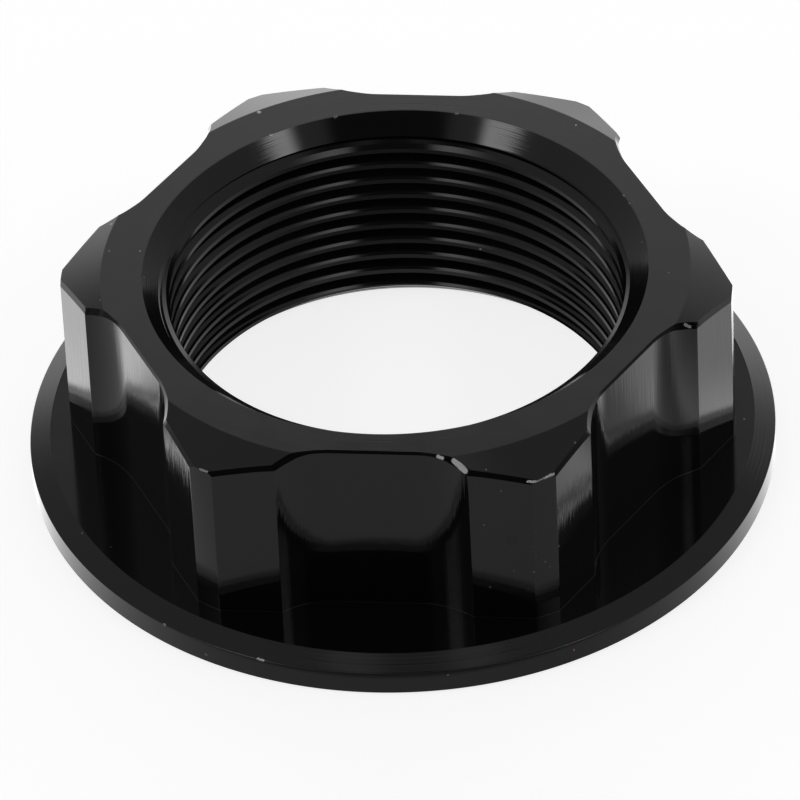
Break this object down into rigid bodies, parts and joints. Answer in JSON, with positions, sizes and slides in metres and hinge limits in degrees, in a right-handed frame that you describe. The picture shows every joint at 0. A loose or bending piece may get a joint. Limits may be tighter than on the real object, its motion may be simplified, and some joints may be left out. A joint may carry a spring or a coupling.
{
  "type": "flanged steering head nut",
  "caption": "Flanged hexagonal nut with a milled pocket in each flat, a coned top and a fine internal thread, in black anodised aluminium.",
  "frame": {"origin": "centre of the bore at the lower face of the flange", "axes": "+Z along the bore axis, from the flange towards the top face; +Y square to one flat of the hexagon"},
  "size_m": [0.038, 0.038, 0.0116],
  "materials": {
    "nut": "black anodised, glossy on the milled faces and satin on the turned ones"
  },
  "bodies": {
    "root": {"nut": "nut"}
  },
  "joints": []
}
